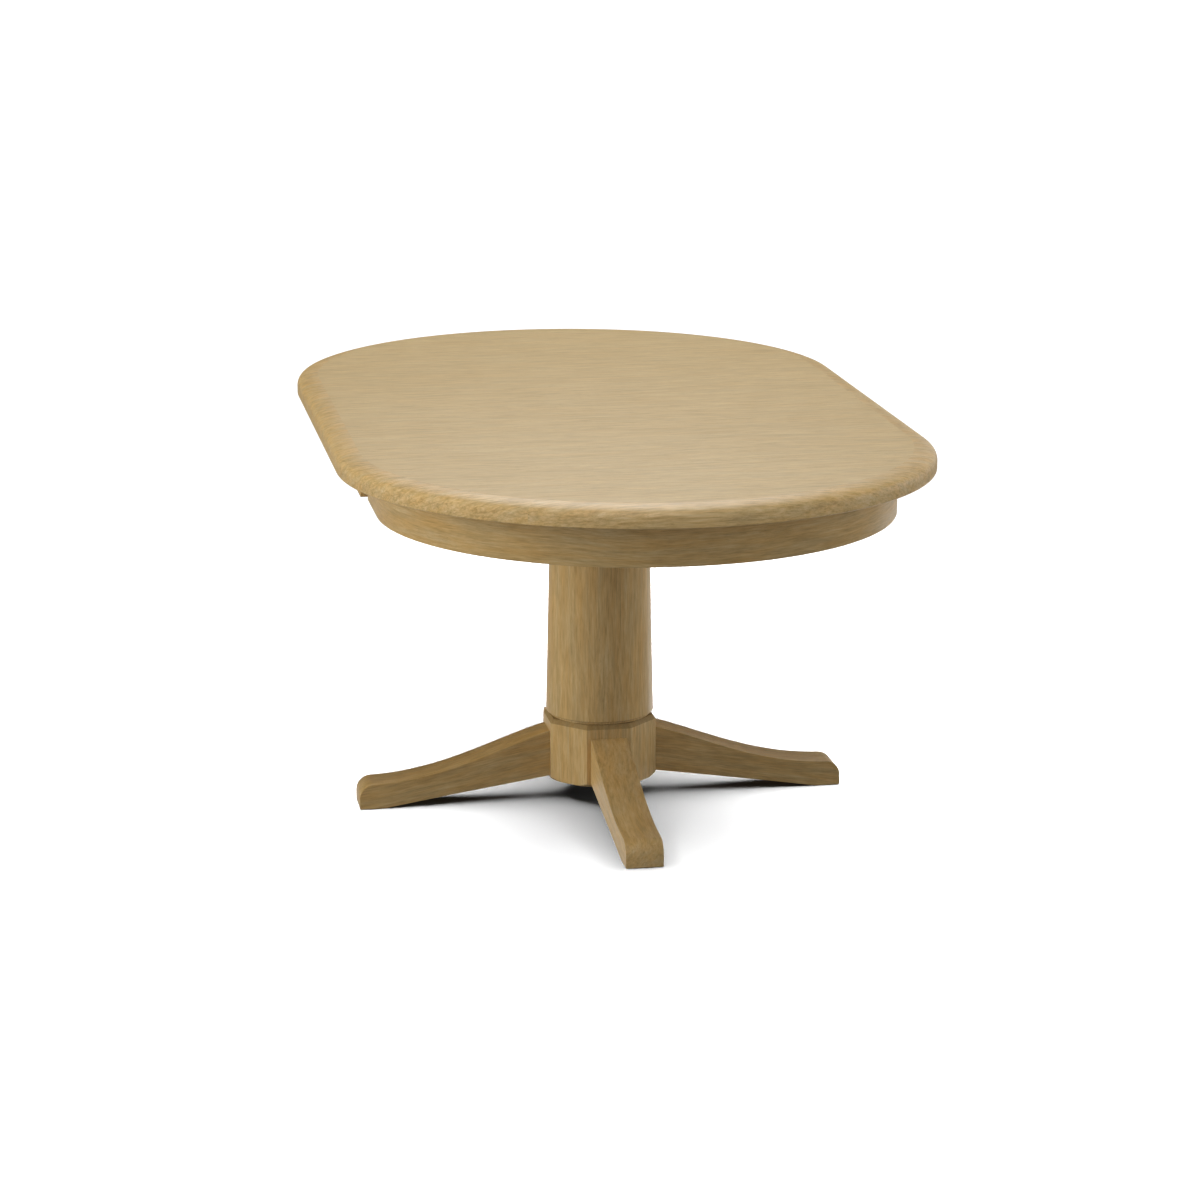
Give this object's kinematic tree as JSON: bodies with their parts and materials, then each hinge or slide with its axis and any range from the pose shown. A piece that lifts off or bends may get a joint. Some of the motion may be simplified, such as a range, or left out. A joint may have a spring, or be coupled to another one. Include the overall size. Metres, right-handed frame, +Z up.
{
  "type": "extending pedestal dining table",
  "caption": "Wooden dining table with half-round ends: the top pulls apart on a round pedestal to take a loose leaf, shown fitted. Square-set arched legs.",
  "frame": {"origin": "on the floor, under the middle of the pedestal and of the top", "axes": "+Z up; +Y along the table's length, the way the rear half pulls out; +X across the table, along the seams"},
  "size_m": [1.0668, 1.8034, 0.762],
  "materials": {
    "top_veneer": "satin lacquered oak, straight grain across the top",
    "top_edge": "satin lacquered oak, grain along the edge",
    "base_wood": "satin lacquered oak",
    "frame_wood": "bare planed hardwood",
    "steel": "zinc plated",
    "nylon": "matte natural nylon"
  },
  "bodies": {
    "pedestal": {"column": "base_wood", "hub": "base_wood", "leg_front": "base_wood", "leg_rear": "base_wood", "leg_left": "base_wood", "leg_right": "base_wood", "glide_front": "nylon", "glide_rear": "nylon", "glide_left": "nylon", "glide_right": "nylon", "leg_bolt_front": "steel", "leg_bolt_rear": "steel", "leg_bolt_left": "steel", "leg_bolt_right": "steel", "tie_rod": "steel", "base_plate": "steel", "tie_rod_nut_lower": "steel", "tie_rod_nut_upper": "steel", "top_plate": "frame_wood", "front_cleat": "frame_wood", "rear_cleat": "frame_wood", "fixed_rail_left": "frame_wood", "fixed_rail_right": "frame_wood", "gear_stretcher": "frame_wood", "pinion_axle": "steel"},
    "front_half": {"front_panel": "top_veneer", "front_edge": "top_edge", "front_apron": "base_wood", "front_runner_left": "frame_wood", "front_runner_right": "frame_wood", "front_tenon_left": "frame_wood", "front_tenon_right": "frame_wood", "front_latch_pivot_left": "steel", "front_latch_pivot_right": "steel", "front_rack": "nylon"},
    "rear_half": {"rear_panel": "top_veneer", "rear_edge": "top_edge", "rear_apron": "base_wood", "rear_runner_left": "frame_wood", "rear_runner_right": "frame_wood", "rear_tenon_left": "frame_wood", "rear_tenon_right": "frame_wood", "rear_latch_pivot_left": "steel", "rear_latch_pivot_right": "steel", "rear_rack": "nylon"},
    "leaf": {"leaf_panel": "top_veneer", "leaf_edge_left": "top_edge", "leaf_edge_right": "top_edge", "leaf_apron_left": "base_wood", "leaf_apron_right": "base_wood", "front_latch_stud_left": "steel", "front_latch_stud_right": "steel", "rear_latch_stud_left": "steel", "rear_latch_stud_right": "steel"},
    "pinion": {"pinion": "nylon"},
    "front_latch_left": {"front_latch_left": "steel"},
    "front_latch_right": {"front_latch_right": "steel"},
    "rear_latch_left": {"rear_latch_left": "steel"},
    "rear_latch_right": {"rear_latch_right": "steel"}
  },
  "joints": [
    {"name": "front_slide", "type": "slide", "parent": "pedestal", "child": "front_half", "axis": [0, -1, 0], "range_m": [0, 0.04]},
    {"name": "rear_slide", "type": "slide", "parent": "pedestal", "child": "rear_half", "axis": [0, 1, 0], "range_m": [0, 0.04]},
    {"name": "pinion_spin", "type": "hinge", "parent": "pedestal", "child": "pinion", "pos_m": [0, 0, 0.7285], "axis": [0, 0, 1], "range_deg": [0, 95.5]},
    {"name": "leaf_lift", "type": "slide", "parent": "pedestal", "child": "leaf", "axis": [0, 0, 1], "range_m": [0, 0.15]},
    {"name": "front_latch_left_swing", "type": "hinge", "parent": "front_half", "child": "front_latch_left", "pos_m": [-0.34, -0.2636, 0.7325], "axis": [0, 0, -1], "range_deg": [0, 90]},
    {"name": "front_latch_right_swing", "type": "hinge", "parent": "front_half", "child": "front_latch_right", "pos_m": [0.34, -0.2636, 0.7325], "axis": [0, 0, 1], "range_deg": [0, 90]},
    {"name": "rear_latch_left_swing", "type": "hinge", "parent": "rear_half", "child": "rear_latch_left", "pos_m": [-0.34, 0.2636, 0.7325], "axis": [0, 0, 1], "range_deg": [0, 90]},
    {"name": "rear_latch_right_swing", "type": "hinge", "parent": "rear_half", "child": "rear_latch_right", "pos_m": [0.34, 0.2636, 0.7325], "axis": [0, 0, -1], "range_deg": [0, 90]}
  ],
  "couplings": [
    {"joint": "rear_slide", "follows": "front_slide", "ratio": 1},
    {"joint": "pinion_spin", "follows": "front_slide", "rad_per_m": 41.667}
  ]
}
